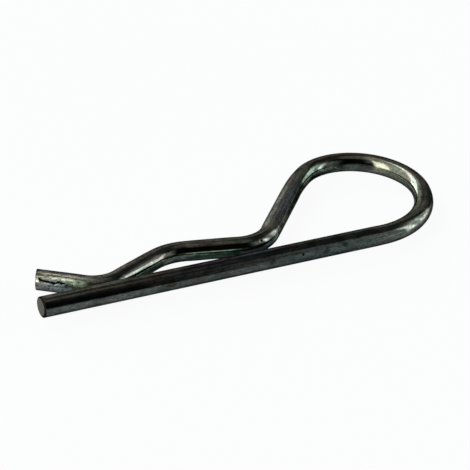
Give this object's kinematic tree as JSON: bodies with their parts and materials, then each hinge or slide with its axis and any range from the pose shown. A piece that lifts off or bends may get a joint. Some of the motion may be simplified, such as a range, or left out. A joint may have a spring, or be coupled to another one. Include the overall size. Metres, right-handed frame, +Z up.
{
  "type": "hitch r clip pin",
  "caption": "Spring clip bent from one round wire: a straight leg, an open teardrop eye and a humped leg with a grip bend and a flared tip.",
  "frame": {"origin": "middle of the outline in plan, at the level of the surface that the clip lies on", "axes": "+X along the straight leg from its free end towards the eye, +Y from the straight leg towards the humped leg, +Z up from the surface that the clip lies on"},
  "size_m": [0.0912, 0.0333, 0.0053],
  "materials": {
    "plated_wire": "dark bright-zinc plate over drawn spring steel, fine draw lines along the wire, faint iridescent passivation"
  },
  "bodies": {
    "root": {"clip": "plated_wire"}
  },
  "joints": []
}
